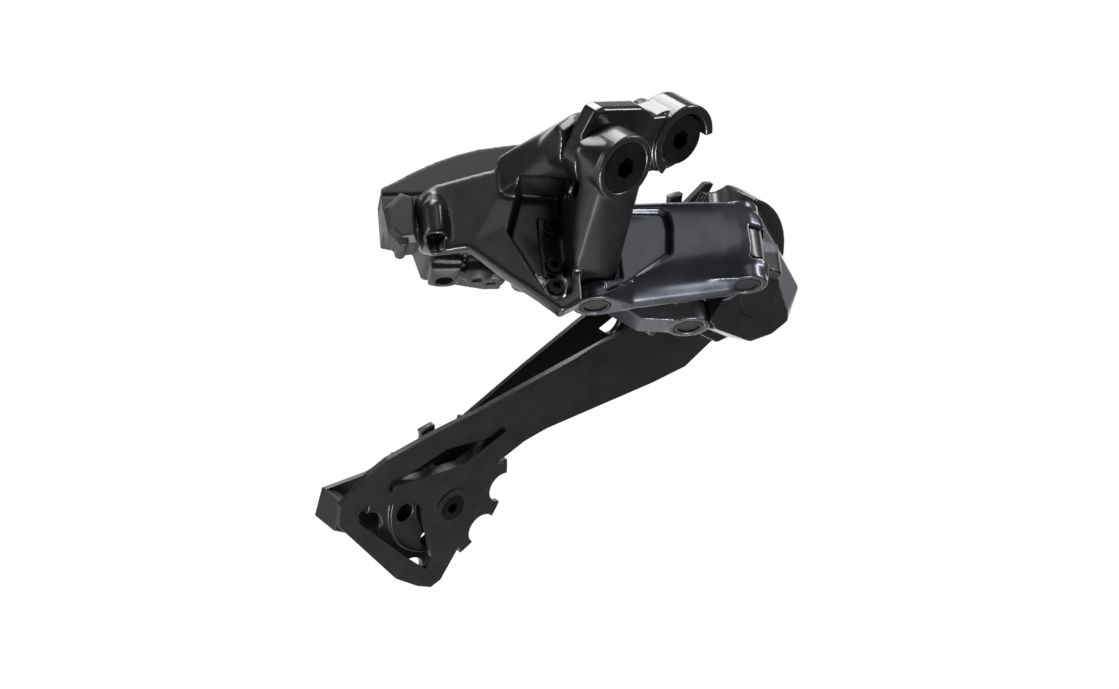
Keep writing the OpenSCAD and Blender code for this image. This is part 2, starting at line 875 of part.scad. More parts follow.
module pulley(x, z, phase) {
    translate([x, chain_y, z]) rotate([-90, 0, 0]) difference() {
        union() {
            translate([0, 0, -1.1]) cylinder(r = tip_r, h = 2.2);
            translate([0, 0, -2]) cylinder(r = 16.8, h = 4);
        }
        for (i = [0 : teeth - 1])
            rotate([0, 0, -phase - (i + 0.5) * 360 / teeth])
                translate([pitch_r + 1, 0, -5]) cylinder(r = roller_r, h = 10);
        for (i = [0 : 4])
            rotate([0, 0, i * 72])
                translate([12, 0, -5])
                    cylinder(r = 2.6, h = 10);
        translate([0, 0, -5]) cylinder(r = bearing_r + 0.01, h = 10);
    }
}

module bearing(x, z) {
    difference() {
        y_cyl(x, z, chain_y - 2, chain_y + 2, bearing_r);
        y_cyl(x, z, 0, 20, sleeve_r + run);
    }
}

module shields(x, z) {
    for (y = [chain_y - 2.6, chain_y + 2]) difference() {
        y_cyl(x, z, y, y + 0.6, 9);
        y_cyl(x, z, 0, 20, sleeve_r + 0.3);
    }
}

module guide_pulley() { color("#141415") pulley(guide_x, guide_z, 27.6); }
module tension_pulley() { color("#141415") pulley(tension_x, tension_z, 5.2); }
module guide_bearing() { color(steel) bearing(guide_x, guide_z); }
module tension_bearing() { color(steel) bearing(tension_x, tension_z); }
module guide_shields() { color(black_steel) shields(guide_x, guide_z); }
module tension_shields() { color(black_steel) shields(tension_x, tension_z); }

b_link();
hanger_bolt();
b_bush();
b_axle_bolt();
b_spring();
end_adjust_screw();
base_body();
motor_case();
motor_cover();
cover_screws();
cover_seal();
port_cover();
charge_port();
function_button();
button_spring();
led_lens();
circuit_board();
motor_can();
motor_rotor();
first_gear();
second_gear();
gear_shafts();
output_gear();
output_shaft();
high_limit_screw();
low_limit_screw();
outer_rear_pin();
outer_link();
outer_link_bushes();
inner_link();
inner_link_bushes();
knuckle();
knuckle_cap();
outer_front_pin();
inner_front_pin();
p_bush();
p_seal();
cage_spring();
p_axle();
outer_plate();
inner_plate();
cage_stop_pin();
guide_bolt();
tension_bolt();
guide_sleeve();
tension_sleeve();
guide_pulley();
tension_pulley();
guide_bearing();
tension_bearing();
guide_shields();
tension_shields();
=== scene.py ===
import math

import bmesh
import bpy
from mathutils import Matrix, Vector


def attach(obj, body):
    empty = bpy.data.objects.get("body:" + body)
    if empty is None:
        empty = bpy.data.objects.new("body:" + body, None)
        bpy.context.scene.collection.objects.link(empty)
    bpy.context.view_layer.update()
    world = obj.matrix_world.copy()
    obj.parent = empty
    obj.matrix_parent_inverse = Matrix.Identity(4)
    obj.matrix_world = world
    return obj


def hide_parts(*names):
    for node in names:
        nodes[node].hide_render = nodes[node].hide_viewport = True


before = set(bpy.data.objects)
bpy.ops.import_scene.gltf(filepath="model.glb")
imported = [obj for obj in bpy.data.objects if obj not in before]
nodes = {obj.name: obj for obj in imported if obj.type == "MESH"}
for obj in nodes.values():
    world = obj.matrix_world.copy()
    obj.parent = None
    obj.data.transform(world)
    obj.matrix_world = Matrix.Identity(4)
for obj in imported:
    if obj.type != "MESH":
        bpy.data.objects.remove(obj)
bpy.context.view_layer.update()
MM = 0.001
CAMERA_DISTANCE = 0.65
FLOOR_HALF_WIDTH = 0.75
FLOOR_TOP = -0.6


# ---- camera ---------------------------------------------------------------

def place_camera():
    right = Vector((0.59094, -0.63446, 0.49825))
    up = Vector((-0.26738, 0.42867, 0.86299))
    back = Vector((-0.76112, -0.64319, 0.08368))
    target = Vector((-4.505, -11.783, -62.373)) * MM
    data = bpy.data.cameras.new("camera")
    data.sensor_width = 36
    data.lens = 79.46
    data.clip_start = 0.05
    camera = bpy.data.objects.new("camera", data)
    turn = Matrix((right, up, back)).transposed().to_4x4()
    camera.matrix_world = Matrix.Translation(target + back * CAMERA_DISTANCE) @ turn
    bpy.context.collection.objects.link(camera)
    bpy.context.scene.camera = camera


place_camera()


# ---- frames ---------------------------------------------------------------

# Outer link's own directions: along it, outboard of it, and up its pins
ALONG = Vector((0.7096, -0.4982, 0.4982))
OUTBOARD = Vector((-0.7046, -0.5018, 0.5018))
UP_PIN = Vector((0, 0.70711, 0.70711))
REAR_PIN = Vector((-1, 18.031, -18.031))
# Length of both links between their pins, and the inner link's rear pin in that frame
LINK = 41.5
INNER = (-13.24, -15.04)
# Axles along Y, as (x, z)
B_AXLE = (-25, -13.4)
P_AXLE = (42, -25)


def on_link(s, n, z):
    """Row point of s along the outer link, n outboard and z up the pins, in millimetres."""
    return (REAR_PIN + ALONG * s + OUTBOARD * n + UP_PIN * z) * MM


def in_row(x, y, z):
    return Vector((x, y, z)) * MM


# ---- solids ---------------------------------------------------------------

def loft(rings):
    """Closed solid through rings of row points, capped at both ends."""
    mesh = bmesh.new()
    rows = [[mesh.verts.new(p) for p in ring] for ring in rings]
    count = len(rows[0])
    for lower, upper in zip(rows, rows[1:]):
        for i in range(count):
            j = (i + 1) % count
            mesh.faces.new((lower[i], lower[j], upper[j], upper[i]))
    for cap in (rows[0], rows[-1]):
        bmesh.ops.triangulate(mesh, faces=[mesh.faces.new(cap)])
    bmesh.ops.recalc_face_normals(mesh, faces=mesh.faces)
    return mesh


def soften(points, times=2):
    """Closed outline with its corners cut again and again, so that it runs smoothly."""
    for _ in range(times):
        eased = []
        for i, p in enumerate(points):
            q = points[(i + 1) % len(points)]
            eased += [p.lerp(q, 0.25), p.lerp(q, 0.75)]
        points = eased
    return points


def rod(start, end, r0, r1=None, sides=40):
    """Round rod between two row points, radii in millimetres."""
    axis = (end - start).normalized()
    side = axis.orthogonal().normalized()
    other = axis.cross(side)
    rings = []
    for point, radius in ((start, r0), (end, r0 if r1 is None else r1)):
        turn = [2 * math.pi * i / sides for i in range(sides)]
        rings.append([point + (side * math.cos(a) + other * math.sin(a)) * radius * MM for a in turn])
    return loft(rings)


def post(s, n, z0, z1, r0, r1=None):
    return rod(on_link(s, n, z0), on_link(s, n, z1), r0, r1)


def disc(x, z, y0, y1, r0, r1=None):
    return rod(in_row(x, y0, z), in_row(x, y1, z), r0, r1)


def block(s, n, z):
    """Block in the link's frame from three ranges."""
    ring = [(s[0], z[0]), (s[1], z[0]), (s[1], z[1]), (s[0], z[1])]
    return loft([[on_link(a, depth, b) for a, b in ring] for depth in n])


def panel(outline, back, front):
    """Panel from (s, z) corners between two depths."""
    return loft([[on_link(s, n, z) for s, z in outline] for n in (back, front)])


def cheek(outline, y0, y1):
    """Panel from (x, z) corners between two stations along Y."""
    return loft([[in_row(x, y, z) for x, z in outline] for y in (y0, y1)])


def wrap(*meshes):
    """Convex skin round solids or lists of row points."""
    skin = bmesh.new()
    for item in meshes:
        points = [v.co for v in item.verts] if isinstance(item, bmesh.types.BMesh) else item
        for p in points:
            skin.verts.new(p)
    result = bmesh.ops.convex_hull(skin, input=skin.verts)
    loose = set(result["geom_interior"]) | set(result["geom_unused"])
    bmesh.ops.delete(skin, geom=[v for v in skin.verts if v in loose], context="VERTS")
    bmesh.ops.recalc_face_normals(skin, faces=skin.faces)
    return skin


def join(name, solids):
    """One object from several closed solids."""
    verts, faces = [], []
    for solid in solids:
        solid.verts.index_update()
        start = len(verts)
        verts += [v.co.copy() for v in solid.verts]
        faces += [[v.index + start for v in f.verts] for f in solid.faces]
    mesh = bpy.data.meshes.new(name)
    mesh.from_pydata(verts, [], faces)
    obj = bpy.data.objects.new(name, mesh)
    bpy.context.collection.objects.link(obj)
    return obj


def bake(obj):
    """Applies the object's modifiers."""
    graph = bpy.context.evaluated_depsgraph_get()
    mesh = bpy.data.meshes.new_from_object(obj.evaluated_get(graph))
    obj.modifiers.clear()
    obj.data = mesh


def carve(obj, cutters):
    tool = join(obj.name + "_tool", cutters)
    cut = obj.modifiers.new("cut", "BOOLEAN")
    cut.operation = "DIFFERENCE"
    cut.object = tool
    cut.solver = "EXACT"
    cut.use_self = True
    bake(obj)
    bpy.data.objects.remove(tool)


def ease(obj, grid, rounds):
    """Remeshes an object on a grid in millimetres and smooths its edges."""
    remesh = obj.modifiers.new("remesh", "REMESH")
    remesh.mode = "VOXEL"
    remesh.voxel_size = grid * MM
    smooth = obj.modifiers.new("smooth", "SMOOTH")
    smooth.factor = 0.5
    smooth.iterations = rounds
    bake(obj)
    for face in obj.data.polygons:
        face.use_smooth = True


def cast(name, solids, cutters, grid=0.4, rounds=4):
    """Melts solids into one casting, cuts it, and eases every edge."""
    obj = join(name, solids)
    if cutters:
        carve(obj, cutters)
    ease(obj, grid, rounds)
    return obj


def take(obj):
    """Turns an object back into a solid."""
    solid = bmesh.new()
    solid.from_mesh(obj.data)
    bpy.data.objects.remove(obj)
    return solid


def melt(solids, grid, rounds):
    """One soft lump made of several solids, ready to be cut."""
    return take(cast("melt", solids, [], grid, rounds))


def dress(obj, body, material, slot, *stands_for):
    obj.data.materials.append(material)
    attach(obj, body)
    if stands_for:
        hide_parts(*stands_for)


def paint_where(obj, material, test):
    """Gives the faces that pass the test a second material."""
    obj.data.materials.append(material)
    index = len(obj.data.materials) - 1
    for face in obj.data.polygons:
        if test(face.center / MM, face.normal):
            face.material_index = index


# ---- finishes -------------------------------------------------------------

def srgb(text):
    """Linear colour of a hex sRGB value."""
    parts = [int(text[i:i + 2], 16) / 255 for i in (1, 3, 5)]
    linear = [c / 12.92 if c < 0.04045 else ((c + 0.055) / 1.055) ** 2.4 for c in parts]
    return (*linear, 1)


def add(tree, kind, settings=None, links=None):
    """Adds a node, sets its properties and sockets, and links its inputs."""
    node = tree.nodes.new(kind)
    for key, value in (settings or {}).items():
        if isinstance(key, str) and hasattr(node, key):
            setattr(node, key, value)
        else:
            node.inputs[key].default_value = value
    for key, source in (links or {}).items():
        tree.links.new(source, node.inputs[key])
    return node


def finish(name, dark, light, metallic, rough, grain, relief, mottle=6.0, coat=0.0, ior=1.5, speck=0.0):
    """Base of every finish: two tones, a roughness range, and a grain of that size in millimetres."""
    material = bpy.data.materials.new(name)
    material.use_nodes = True
    tree = material.node_tree
    shader = tree.nodes["Principled BSDF"]
    shader.inputs["Metallic"].default_value = metallic
    if metallic < 0.5:
        shader.inputs["IOR"].default_value = ior
    shader.inputs["Coat Weight"].default_value = coat
    shader.inputs["Coat Roughness"].default_value = 0.12
    place = add(tree, "ShaderNodeTexCoord").outputs["Object"]
    cloud = add(tree, "ShaderNodeTexNoise", {"Scale": 1000 / mottle, "Detail": 3.0}, {"Vector": place})
    fine = add(tree, "ShaderNodeTexNoise", {"Scale": 1000 / grain, "Detail": 2.0}, {"Vector": place})
    tone = add(tree, "ShaderNodeValToRGB", None, {"Fac": cloud.outputs["Fac"]})
    tone.color_ramp.elements[0].color = srgb(dark)
    tone.color_ramp.elements[0].position = 0.35
    tone.color_ramp.elements[1].color = srgb(light)
    tone.color_ramp.elements[1].position = 0.65
    colour = tone.outputs["Color"]
    if speck:
        # Metal flake or glass fibre that catches the light here and there
        spots = add(tree, "ShaderNodeValToRGB", None, {"Fac": fine.outputs["Fac"]})
        spots.color_ramp.elements[0].position = 0.55
        spots.color_ramp.elements[1].position = 0.75
        mix = add(tree, "ShaderNodeMix", {"data_type": "RGBA", "blend_type": "ADD"},
                  {6: colour, 7: spots.outputs["Color"]})
        mix.inputs[0].default_value = speck
        colour = mix.outputs[2]
    tree.links.new(colour, shader.inputs["Base Color"])
    shine = add(tree, "ShaderNodeMapRange", {"To Min": rough[0], "To Max": rough[1]},
                {"Value": cloud.outputs["Fac"]})
    tree.links.new(shine.outputs["Result"], shader.inputs["Roughness"])
    bump = add(tree, "ShaderNodeBump", {"Strength": 1.0, "Distance": relief * MM},
               {"Height": fine.outputs["Fac"]})
    tree.links.new(bump.outputs["Normal"], shader.inputs["Normal"])
    return material


# Grains are drawn coarser than real, the moulded, scratched and porous ones several times, so that
# they show at the camera's distance.
# Die-cast aluminium under a satin black paint: soft broad highlights and a fine orange-peel grain
cast_paint = finish("cast_aluminium_satin_paint", "#121315", "#191a1c", 0.4, (0.3, 0.38), 0.5, 0.01,
                    coat=0.25, speck=0.012)
# Aluminium link under a metallic anthracite paint: smooth, with a blue-grey flake
link_paint = finish("link_metallic_paint", "#2e3036", "#373940", 0.8, (0.27, 0.34), 0.35, 0.004,
                    coat=0.35, speck=0.01)
# Forged link under a glossy black paint: sharp bright reflections
gloss_paint = finish("forged_aluminium_gloss_paint", "#161719", "#1c1d1f", 0.5, (0.22, 0.3), 0.6, 0.006,
                     coat=0.4)
# Same casting paint made paler for faces turned up or outboard: a painted highlight standing in for light
# falling on them, with an evenly rough, coarser grain
painted_highlight_paint = finish("painted_highlight_aluminium_paint", "#3c3e42", "#4a4c50", 0.6, (0.42, 0.5), 0.45, 0.03,
                       speck=0.05)
# Glass-filled nylon, moulded: matte black with a faint spark-eroded grain
nylon = finish("moulded_nylon", "#0e0e10", "#131315", 0.0, (0.48, 0.58), 0.4, 0.015, ior=1.53)
# Stamped aluminium, black anodised: dense matte black, even all over
anodised = finish("black_anodised_aluminium", "#121214", "#17181a", 0.4, (0.38, 0.46), 0.3, 0.008)
# Moulded acetal: waxy black, smoother than the nylon
acetal = finish("moulded_acetal", "#101012", "#151517", 0.0, (0.3, 0.4), 0.8, 0.01, ior=1.48)
# Black zinc on turned steel: dark with a tight sheen
black_zinc = finish("black_zinc_steel", "#17181a", "#1f2022", 0.8, (0.28, 0.36), 0.3, 0.006)
# Ground steel pins and sleeves: bright grey, finely scratched
ground_steel = finish("ground_steel", "#8a8c90", "#9c9ea2", 1.0, (0.22, 0.32), 0.25, 0.004)
# Spring wire, oil-tempered: grey-brown and smooth
spring_wire = finish("spring_wire", "#66686b", "#777a7d", 1.0, (0.28, 0.36), 0.3, 0.004)
# Sintered bronze bushes: matte warm metal with fine pores
bronze = finish("sintered_bronze", "#7c6238", "#93764a", 1.0, (0.4, 0.52), 0.25, 0.02)
# Moulded seal rubber: flat black
rubber = finish("seal_rubber", "#101010", "#161616", 0.0, (0.7, 0.8), 0.6, 0.02, ior=1.52)
# Solder mask over glass epoxy: glossy deep green
solder_mask = finish("solder_mask_board", "#123a26", "#174a31", 0.0, (0.25, 0.35), 0.8, 0.01, coat=0.3)
# Polycarbonate light guide: pale and clear-looking
light_guide = finish("moulded_polycarbonate", "#9fb0b8", "#b6c4ca", 0.0, (0.12, 0.2), 1.5, 0.003,
                     ior=1.58)


def trim_edges(node, width):
    """Eases the sharp edges of a machined part that keeps its CAD shape."""
    weld = node.modifiers.new("weld", "WELD")
    weld.merge_threshold = 0.002 * MM
    bevel = node.modifiers.new("ease", "BEVEL")
    bevel.width = width * MM
    bevel.segments = 2
    bevel.limit_method = "ANGLE"
    bevel.angle_limit = math.radians(35)
    bevel.harden_normals = True


KEPT = {
    cast_paint: ["knuckle_cap"],
    black_zinc: ["hanger_bolt", "b_axle_bolt", "end_adjust_screw", "high_limit_screw", "low_limit_screw",
                 "guide_bolt", "tension_bolt", "guide_shields", "tension_shields", "cover_screws",
                 "outer_rear_pin", "outer_front_pin", "inner_front_pin", "outer_link_bushes",
                 "inner_link_bushes"],
    ground_steel: ["motor_can", "gear_shafts", "output_shaft", "p_axle", "cage_stop_pin", "guide_sleeve",
                   "tension_sleeve", "guide_bearing", "tension_bearing", "second_gear", "output_gear",
                   "charge_port"],
    spring_wire: ["b_spring", "button_spring", "cage_spring"],
    bronze: ["b_bush", "p_bush", "motor_rotor", "first_gear"],
    anodised: ["outer_plate", "inner_plate"],
    acetal: ["guide_pulley", "tension_pulley"],
    rubber: ["cover_seal", "p_seal"],
    solder_mask: ["circuit_board"],
    light_guide: ["led_lens"],
    nylon: ["function_button"],
}
EASED = {
    "outer_plate": 0.3, "inner_plate": 0.3, "guide_pulley": 0.35, "tension_pulley": 0.35,
    "hanger_bolt": 0.35, "b_axle_bolt": 0.35, "guide_bolt": 0.25, "tension_bolt": 0.25,
    "outer_rear_pin": 0.3, "outer_front_pin": 0.3, "inner_front_pin": 0.3, "outer_link_bushes": 0.15,
    "inner_link_bushes": 0.15, "end_adjust_screw": 0.2, "high_limit_screw": 0.2, "low_limit_screw": 0.2,
    "function_button": 0.3, "knuckle_cap": 0.25, "p_axle": 0.3, "guide_shields": 0.15,
    "tension_shields": 0.15, "cage_stop_pin": 0.2, "cover_screws": 0.12,
}


def keep_cad_parts():
    for material, names in KEPT.items():
        for name in names:
            node = nodes[name]
            for slot in node.material_slots:
                slot.material = material
            if name in EASED:
                trim_edges(node, EASED[name])


# ---- outer link -----------------------------------------------------------

def link_section(s, top, crease, bottom, crown):
    """Section square to the link: a crowned face above a flank that slopes in below."""
    shape = [
        (2.6, top), (4.6, top + 0.1), (crown - 0.1, top), (crown + 0.5, top - 3), (crown + 0.9, top - 9),
        (crown + 0.7, crease + 5), (crown - 0.2, crease + 1), (crown - 2, crease - 2),
        (3.2, bottom + 1.6), (1.2, bottom - 0.2), (-2.8, bottom - 0.2), (-2.8, bottom + 2.6),
        (1.2, crease + 0.5), (2.6, crease + 4),
    ]
    return soften([on_link(s, n, z) for n, z in shape])


def make_outer_link():
    stations = [
        (6.8, -16.9, -38.6, -44.2, 6.4), (12, -16.7, -38.4, -43.7, 6.6), (20, -16.6, -38, -42.8, 6.7),
        (28, -16.6, -37.4, -42, 6.7), (36, -16.7, -36.8, -41.1, 6.6), (40, -17, -36.5, -40.4, 6.4),
        (43.5, -18.2, -36, -39.6, 6), (46, -19.8, -35.2, -38.8, 5.2), (47.6, -21.8, -34.4, -37.8, 4.2),
    ]
    solids = [
        loft([link_section(*row) for row in stations]),
        wrap(post(0, 0, -44, -41, 6), post(0.8, 0, -41, -38.5, 5.1), [on_link(9.5, n, z) for n, z in (
            (6.4, -38.6), (4.5, -40.6), (3.2, -42.4), (1.2, -44.1), (-2.8, -44.1), (-2.8, -39))]),
        wrap(post(0, 0, -21, -16, 6), block((6, 12), (-1, 5.8), (-21, -16.6))),
        post(LINK, 0, -39, -33.4, 6), post(LINK, 0, -24, -16.2, 6),
        block((30, LINK), (-2.9, 5), (-39, -33.4)), block((33, LINK), (-2.6, 4), (-24, -16.6)),
    ]
    rim = [(2, -17.9), (19.4, -18.4), (21.4, -19.8), (21.9, -24.4), (21, -33.4), (8, -42.2), (2, -43)]
    floor = [(2, -19.2), (18.6, -19.6), (20.1, -20.6), (20.6, -24.4), (19.6, -31.8), (7.5, -40), (2, -42)]
    cutters = [
        post(0, 0, -60, -10, 4.02), post(LINK, 0, -60, -10, 4.02),
        post(0, 0, -38.5, -21, 6.5), post(LINK, 0, -33.4, -24, 6.35),
        block((LINK + 1.2, 60), (-8, 20), (-33.4, -24)),
        # Stepped window beside the base
        loft([[on_link(s, n, z) for s, z in shape] for n, shape in ((5.3, floor), (8.4, rim))]),
    ]
    obj = cast("outer_link_shell", solids, cutters, 0.34, 10)
    dress(obj, "outer_link", link_paint, "satin_link", "outer_link")


# ---- base -----------------------------------------------------------------

RECESS = [(-17.6, -13), (-21.8, -25.6), (-13.9, -43), (-12.1, -44.4), (-9, -43.4), (-8, -40), (-8, -14)]
RECESS_RIM = [(-18.9, -11.2), (-23.9, -25.7), (-14.6, -45.2), (-12.1, -47), (-7.4, -45), (-6.9, -41),
              (-6.9, -11.6)]
# Adjusting screws in the recess, as (s, z), and the radius that the hanger link turns in
RECESS_SCREWS = [(-10.2, -22.5), (-11, -34.5), (-11, -40.5)]
TURNING_RADIUS = 13.4


def make_base():
    wall = [
        (-46.4, -14.2), (-41.5, -10.8), (-30, -8.2), (-19.2, -6), (-13.6, -1.8), (-8.2, 2.6), (-6.4, -3),
        (-5.6, -15), (-4.8, -38), (-5.2, -46.4), (-11, -49.4), (-15, -45.8), (-24.3, -38.2), (-33.6, -29.6),
        (-43, -30.6), (-45.4, -26.5),
    ]
    # The wall leans back a little towards its left end
    wall = [(s, z, min(9.8, 9.8 + 0.11 * (s + 19))) for s, z in wall]
    plate = loft([[on_link(s, -2 if z > -28 else 4.5, z) for s, z, n in wall],
                  [on_link(s, n, z) for s, z, n in wall]])
    column = [
        (-8, -3), (-8, 9), (-6.2, 10), (-4.6, 9.9), (-2, 8.9), (1, 6.9), (3.4, 4.6), (4.9, 2.4), (5.6, 0),
        (4.4, -3.6), (0, -5.8),
    ]
    face = loft([[on_link(s, n, z) for s, n in column] for z in (-38, -20)])
    face_top = [on_link(s, n, z) for s, n in column for z in (-38, -21)]
    crest = [in_row(-36.2, y, z) for y, z in ((-12.4, -13.8), (-10.4, -13.8), (-12.4, -16), (-10.4, -16))]
    ridge = [on_link(*p) for p in ((-6.8, 12, -38), (-6.4, 10.4, -30), (-7.4, 30, -24))]
    sweep = [on_link(*p) for p in (
        (-19.6, 9.8, -6), (-19.6, 9.8, -11), (-7, 9.8, -12.4), (-13.6, 9.8, -1.8), (-9, 9.6, 2.4))]
    top_of_wall = [on_link(s, n, z) for s in (-24, -9) for n in (-1, 9.4) for z in (-15, -4)]
    form = melt([
        plate, face,
        wrap(disc(*B_AXLE, -18, -11, 7.9), face_top, ridge),
        wrap(disc(*B_AXLE, -18, -10.2, 8.5), crest, ridge[2:]),
        wrap(disc(*B_AXLE, -4.4, 0.6, 8), [in_row(-36.6, -1, -13.2), in_row(-33.4, -1, -8.6)],
             crest, sweep),
        wrap(disc(*B_AXLE, -4.4, 0.6, 8), top_of_wall),
        # Boss of the case screw, tapering upwards
        wrap(post(-42, 8.2, -27, -18, 3.4), post(-41.4, 6.4, -18, -13, 1.2)),
    ], 0.5, 16)
    solids = [
        form,
        disc(*B_AXLE, -19, -12, 8.9),
        post(*INNER, -25.2, -18.4, 5.8),
        wrap(post(*INNER, -25, -18.6, 4.6), post(-19, 1, -25, -18.6, 3.5)),
        post(0, 0, -38.2, -21.3, 5.8),
    ]
    # Turning room for the hanger link
    slot = [(B_AXLE[0] + TURNING_RADIUS * math.cos(a), B_AXLE[1] + TURNING_RADIUS * math.sin(a))
            for a in (math.radians(d) for d in range(-85, 189, 6))]
    cutters = [
        disc(*B_AXLE, -10.2, -4.4, 10), cheek(slot, -10.2, -4.4),
        disc(*B_AXLE, -40, 0.3, 5.02), disc(*B_AXLE, -40, -15.5, 6.85),
        disc(*B_AXLE, -14.6, -10, 7),
        post(0, 0, -60, -38.2, 6.6), post(0, 0, -21.4, -15.6, 6.4),
        block((0.5, 14), (-6, 7.2), (-21.4, -15.6)),
        post(*INNER, -60, -10, 3.06), post(*INNER, -18.4, -13.6, 6.5), post(0, 0, -60, -19, 3.02),
        loft([[on_link(s, 4.2, z) for s, z in RECESS], [on_link(s, 12, z) for s, z in RECESS_RIM],
              [on_link(s - 6.5, 45, z - 17.5) for s, z in RECESS_RIM]]),
        post(-42, 8.2, -40, -24.4, 2.3),
        # Room for the motor case behind the wall
        loft([[on_link(s, n, z) for s, n in [(-60, -2), (-60, -40), (0, -40), (-6.6, -11), (-9.2, -2)]]
              for z in (-13.8, 40)]),
        loft([[on_link(s, n, z) for s, n in [(-60, -2), (-60, -40), (-20.3, -40), (-20.3, -2)]]
              for z in (-26.2, 0)]),
        block((-47, -41.75), (-0.9, 3.65), (-21.65, -17.1)),
    ]
    obj = cast("base_casting", solids, cutters, 0.4, 4)
    dress(obj, "base", cast_paint, "casting", "base_body")
    # Bosses of the three recess screws, with a low rib between them
    bosses = [wrap(post(s, 2, z - 2.6, z + 2.6, 1), rod(on_link(s, 3, z), on_link(s, 5.6, z), 2.9, 2.5))
              for s, z in ((-10.6, -22.5), (-11.2, -34.5), (-11.2, -40.5))]
    rib = wrap(block((-14.2, -12.8), (3.6, 5.6), (-38, -20)))
    tools = [rod(on_link(s, 3, z), on_link(s, 12, z), 2.15) for s, z in RECESS_SCREWS]
    detail = cast("recess_bosses", bosses + [rib], tools, 0.25, 4)
    dress(detail, "base", cast_paint, "casting")


# ---- motor unit -----------------------------------------------------------

CASE = [(-54, -2.2), (-54, -14), (-40, -20.5), (-25, -26.5), (-8, -26.5), (-6.8, -11), (-9.4, -2.2)]
LID_TOP = [(-54, -8.6), (-54, -6.6), (-50, -4.6), (-45, -1.8), (-39, 1), (-33, 3.2), (-27, 4.8),
           (-18, 6), (-9, 6.8), (-5, 6.2), (-5, -8.6)]


def within_case(name, profile):
    """Object of that (s, z) profile, cut to the plan of the motor case."""
    obj = join(name, [panel(profile, -40, 5)])
    plan = join(name + "_plan", [loft([[on_link(s, n, z) for s, n in CASE] for z in (-50, 40)])])
    shared = obj.modifiers.new("shared", "BOOLEAN")
    shared.operation = "INTERSECT"
    shared.object = plan
    bake(obj)
    bpy.data.objects.remove(plan)
    return obj


def make_lid():
    lid = within_case("motor_lid", LID_TOP)
    ease(lid, 0.4, 10)
    screws = [(-50.2, -5.4), (-22, -23.8), (-11.9, -5.2), (-42.2, -16.8)]
    tools = [post(s, n, -12, 30, 1.5) for s, n in screws]
    tools.append(post(-34, -11.5, -20, 30, 2.62))
    tools.append(post(-29.6, -15, -20, 30, 1.27))
    inside = [(-52.6, -3.6), (-52.6, -13), (-40.2, -18.9), (-25.2, -25.1), (-9.2, -25.1), (-8.2, -11.4),
              (-10.6, -3.6)]
    tools.append(loft([[on_link(s, n, z) for s, n in inside] for z in (-14, -7.4)]))
    tools.append(block((-47.6, -12), (-20, -6), (-14, -4.7)))
    carve(lid, tools)
    dress(lid, "base", nylon, "housing_plastic", "motor_cover")


def make_case():
    deep = [(-54, -9), (-54, -19), (-45, -19), (-43, -26), (-20.5, -26), (-20.5, -13.7), (-6.8, -13.7),
            (-6.8, -9)]
    shell = take(within_case("motor_case_body", deep))
    lumps = [
        wrap(block((-42, -34), (-14, -4), (-30, -24)), post(-38, -10, -31, -24, 3.4)),
        wrap(post(-29.5, -8, -30.4, -24, 4), post(-29.5, -8, -32, -31, 2.6)),
        wrap(post(-25, -12, -29.6, -24, 4.2), post(-25, -12, -31, -30, 3)),
        wrap(post(-31, -5, -27.5, -24, 1.4), post(-23, -5, -27.5, -24, 1.4)),
        wrap(post(-35, -4.6, -28.4, -24, 1.8), post(-40, -4.6, -28, -24, 1.8)),
    ]
    obj = cast("motor_case_shell", [shell] + lumps,
               [post(-38, -10, -40, -28, 2.4), post(*INNER, -30, -10, 3.4),
                post(-29.5, -8, -40, -30.5, 1.3), post(-25, -12, -40, -29.8, 1.3)], 0.38, 4)
    dress(obj, "base", nylon, "housing_plastic", "motor_case")


def make_port_cover():
    outer = [(-46.6, -13.6), (-50, -12.2), (-54.8, -17), (-53.9, -24), (-51, -27.3), (-46.4, -26.8)]
    inner = [(-47.6, -15), (-49.8, -13.8), (-53.4, -17.6), (-52.8, -23.6), (-50.6, -25.8), (-47.4, -25.4)]
    rings = [[on_link(s, n, z) for s, z in shape]
             for n, shape in ((-1.8, outer), (5.6, outer), (7.8, inner))]
    hinge = rod(on_link(-50.5, -1.8, -26.8), on_link(-50.5, 7, -26.8), 1.4)
    obj = cast("port_flap", [loft(rings), hinge], [], 0.3, 3)
    dress(obj, "port", nylon, "housing_plastic", "port_cover")


# ---- hanger link ----------------------------------------------------------

def make_hanger_link():
    stop = [(-34.4, -12.3), (-34.8, -4.6), (-33, -3), (-20.5, 2.2), (-15.5, 2.2), (-13, -1), (-16, -8),
            (-26, -7)]
    stop_face = [(x * 0.96 - 0.9, z * 0.94 - 0.3) for x, z in stop]
    solids = [
        disc(0, 0, -10.4, 0, 10.3),
        wrap(disc(0, 0, -8.4, 0, 9.6), disc(-10, -5, -8.4, 0, 7.4)),
        wrap(disc(-6, -3, -9.4, -4.8, 7.6), disc(*B_AXLE, -9.6, -4.8, 9)),
        disc(*B_AXLE, -9.9, -4.7, 9.3),
        loft([[in_row(x, y, z) for x, z in shape]
              for y, shape in ((-4.7, stop), (-8.8, stop), (-9.8, stop_face))]),
    ]
    cutters = [
        disc(0, 0, -30, -4.8, 7.7), disc(0, 0, -30, 5, 5.05), disc(*B_AXLE, -30, 5, 6.2),
        disc(*B_AXLE, -4.7, 5, 8.3),
        cheek([(0, 0), (-2, -20), (24, -20), (24, 6), (9, 6)], -30, -4.8),
    ]
    obj = cast("hanger_link_forging", solids, cutters, 0.34, 4)
    dress(obj, "hanger_link", gloss_paint, "forged_gloss", "b_link")


# ---- knuckle and inner link -----------------------------------------------

